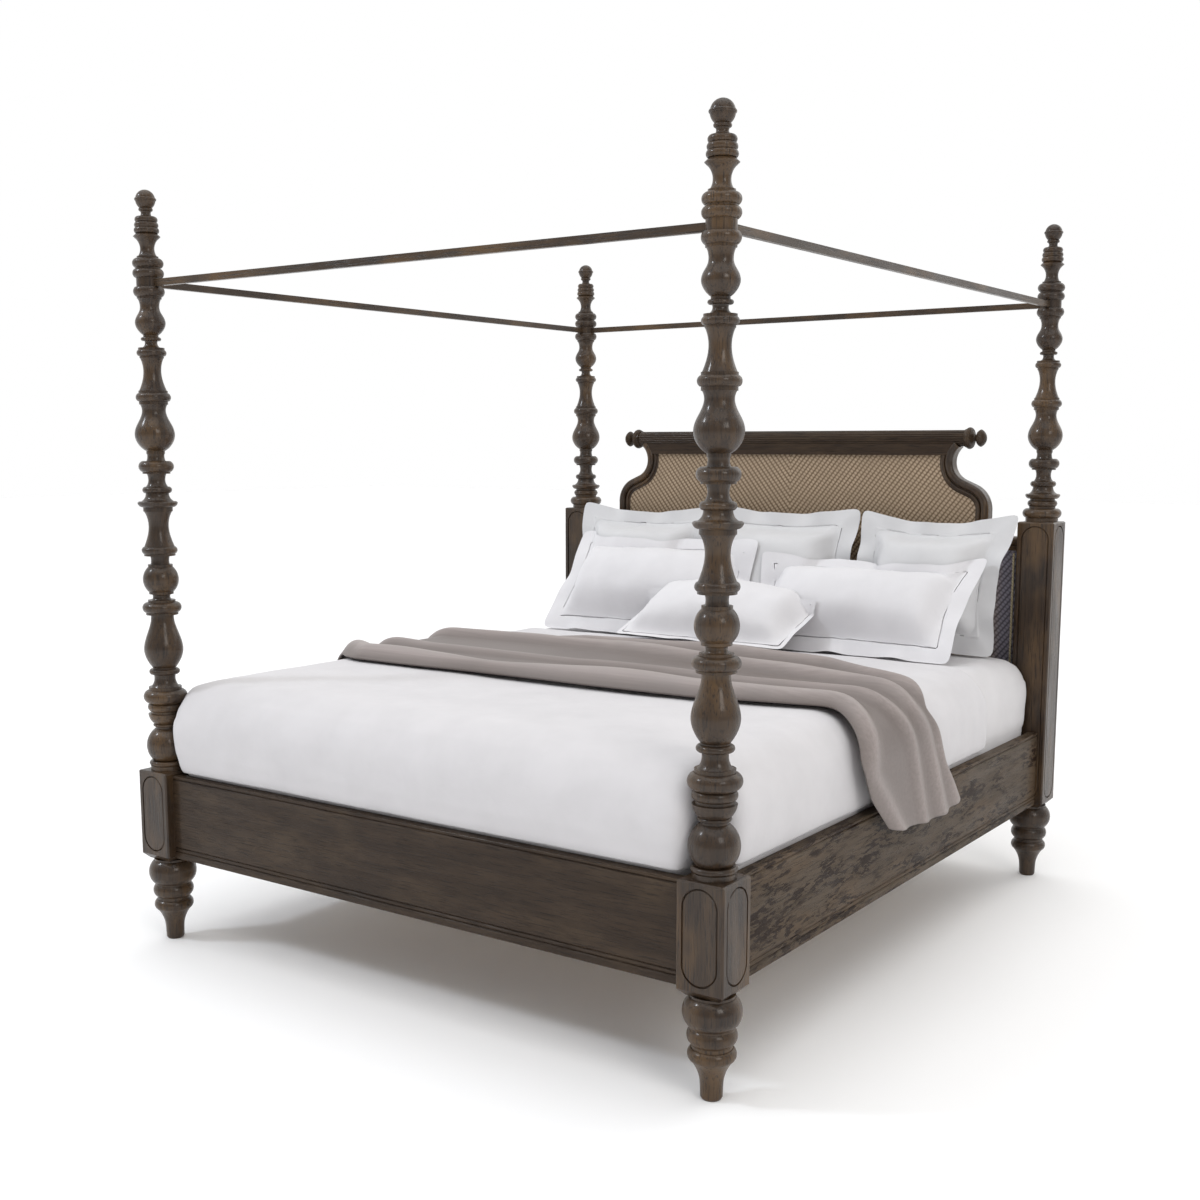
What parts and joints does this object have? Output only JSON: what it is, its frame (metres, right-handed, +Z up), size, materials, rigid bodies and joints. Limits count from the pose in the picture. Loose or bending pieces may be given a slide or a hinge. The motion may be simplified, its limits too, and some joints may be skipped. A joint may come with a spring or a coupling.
{
  "type": "miniature four poster bed",
  "caption": "Dolls' house four-poster bed: turned posts, lift-off canopy and finials, shaped woven headboard, mattress, coverlet, throw and loose pillows.",
  "frame": {"origin": "on the floor under the centre of the bed, midway between the post centres", "axes": "+Z up, +Y towards the headboard, +X towards the bed's right side as seen from its foot"},
  "size_m": [0.1771, 0.1984, 0.1916],
  "materials": {
    "dark_wood": "dark espresso stain under satin lacquer, golden brown where the stain is thin on the turnings",
    "canopy_wood": "dark espresso stain under satin lacquer",
    "roll_wood": "dark espresso stain, reeded roll and turned ends",
    "hidden_wood": "plain sanded pale timber",
    "dowel_wood": "plain beech",
    "pin_brass": "drawn brass, satin",
    "woven_panel": "diagonal two-tone cord weave meeting in a V on the centre line",
    "edge_cord": "twisted golden cord",
    "white_sheet": "white cotton sateen",
    "white_coverlet": "soft white cotton coverlet, lightly puckered",
    "throw_cloth": "taupe grey satin weave with a soft sheen",
    "sham_cotton": "off-white cotton with a flat flanged border",
    "pillow_cotton": "off-white cotton with a flat flanged border",
    "lumbar_cotton": "off-white cotton with a flat flanged border"
  },
  "bodies": {
    "bed_frame": {"block_dowels": "dowel_wood", "block_front_left": "dark_wood", "block_front_right": "dark_wood", "block_rear_left": "dark_wood", "block_rear_right": "dark_wood", "canopy_pins": "pin_brass", "edge_cord_left": "edge_cord", "edge_cord_right": "edge_cord", "foot_dowels": "dowel_wood", "foot_front_left": "dark_wood", "foot_front_right": "dark_wood", "foot_rail": "dark_wood", "foot_rear_left": "dark_wood", "foot_rear_right": "dark_wood", "front_turning_dowels": "dowel_wood", "head_rail": "dark_wood", "headboard_band": "dark_wood", "headboard_core": "hidden_wood", "headboard_frame_left": "dark_wood", "headboard_frame_right": "dark_wood", "headboard_roll": "roll_wood", "headboard_weave": "woven_panel", "ledger_left": "hidden_wood", "ledger_right": "hidden_wood", "lower_turning_left": "dark_wood", "lower_turning_right": "dark_wood", "rear_base_left": "dark_wood", "rear_base_right": "dark_wood", "rear_turning_dowels": "dowel_wood", "roll_end_left": "roll_wood", "roll_end_right": "roll_wood", "side_rail_left": "dark_wood", "side_rail_right": "dark_wood", "slats": "hidden_wood", "upper_turning_front_left": "dark_wood", "upper_turning_front_right": "dark_wood", "upper_turning_rear_left": "dark_wood", "upper_turning_rear_right": "dark_wood"},
    "canopy": {"canopy_rail_front": "canopy_wood", "canopy_rail_left": "canopy_wood", "canopy_rail_rear": "canopy_wood", "canopy_rail_right": "canopy_wood", "collar_front_left": "dark_wood", "collar_front_right": "dark_wood", "collar_rear_left": "dark_wood", "collar_rear_right": "dark_wood"},
    "finial_front_left": {"finial_front_left": "dark_wood"},
    "finial_front_right": {"finial_front_right": "dark_wood"},
    "finial_rear_left": {"finial_rear_left": "dark_wood"},
    "finial_rear_right": {"finial_rear_right": "dark_wood"},
    "mattress": {"mattress": "white_sheet", "coverlet": "white_coverlet"},
    "throw": {"throw": "throw_cloth"},
    "sham_left": {"sham_left": "sham_cotton"},
    "sham_middle": {"sham_middle": "sham_cotton"},
    "sham_right": {"sham_right": "sham_cotton"},
    "king_pillows": {"king_pillow_left": "pillow_cotton", "king_pillow_right": "pillow_cotton"},
    "lumbar_pillow": {"lumbar_pillow": "lumbar_cotton"}
  },
  "joints": [
    {"name": "canopy_lift", "type": "slide", "parent": "bed_frame", "child": "canopy", "axis": [0, 0, 1], "range_m": [0, 0.03]},
    {"name": "finial_front_left_lift", "type": "slide", "parent": "canopy", "child": "finial_front_left", "axis": [0, 0, 1], "range_m": [0, 0.02]},
    {"name": "finial_front_right_lift", "type": "slide", "parent": "canopy", "child": "finial_front_right", "axis": [0, 0, 1], "range_m": [0, 0.02]},
    {"name": "finial_rear_left_lift", "type": "slide", "parent": "canopy", "child": "finial_rear_left", "axis": [0, 0, 1], "range_m": [0, 0.02]},
    {"name": "finial_rear_right_lift", "type": "slide", "parent": "canopy", "child": "finial_rear_right", "axis": [0, 0, 1], "range_m": [0, 0.02]},
    {"name": "mattress_lift", "type": "slide", "parent": "bed_frame", "child": "mattress", "axis": [0, 0, 1], "range_m": [0, 0.04]},
    {"name": "throw_lift", "type": "slide", "parent": "mattress", "child": "throw", "axis": [0, 0, 1], "range_m": [0, 0.02]},
    {"name": "sham_left_lift", "type": "slide", "parent": "mattress", "child": "sham_left", "axis": [0, 0.2419, 0.9703], "range_m": [0, 0.004]},
    {"name": "sham_middle_lift", "type": "slide", "parent": "mattress", "child": "sham_middle", "axis": [0, 0.2419, 0.9703], "range_m": [0, 0.004]},
    {"name": "sham_right_lift", "type": "slide", "parent": "mattress", "child": "sham_right", "axis": [0, 0.2419, 0.9703], "range_m": [0, 0.004]},
    {"name": "king_pillows_lift", "type": "slide", "parent": "mattress", "child": "king_pillows", "axis": [0, 0, 1], "range_m": [0, 0.015]},
    {"name": "lumbar_pillow_lift", "type": "slide", "parent": "king_pillows", "child": "lumbar_pillow", "axis": [0, 0, 1], "range_m": [0, 0.015]}
  ]
}
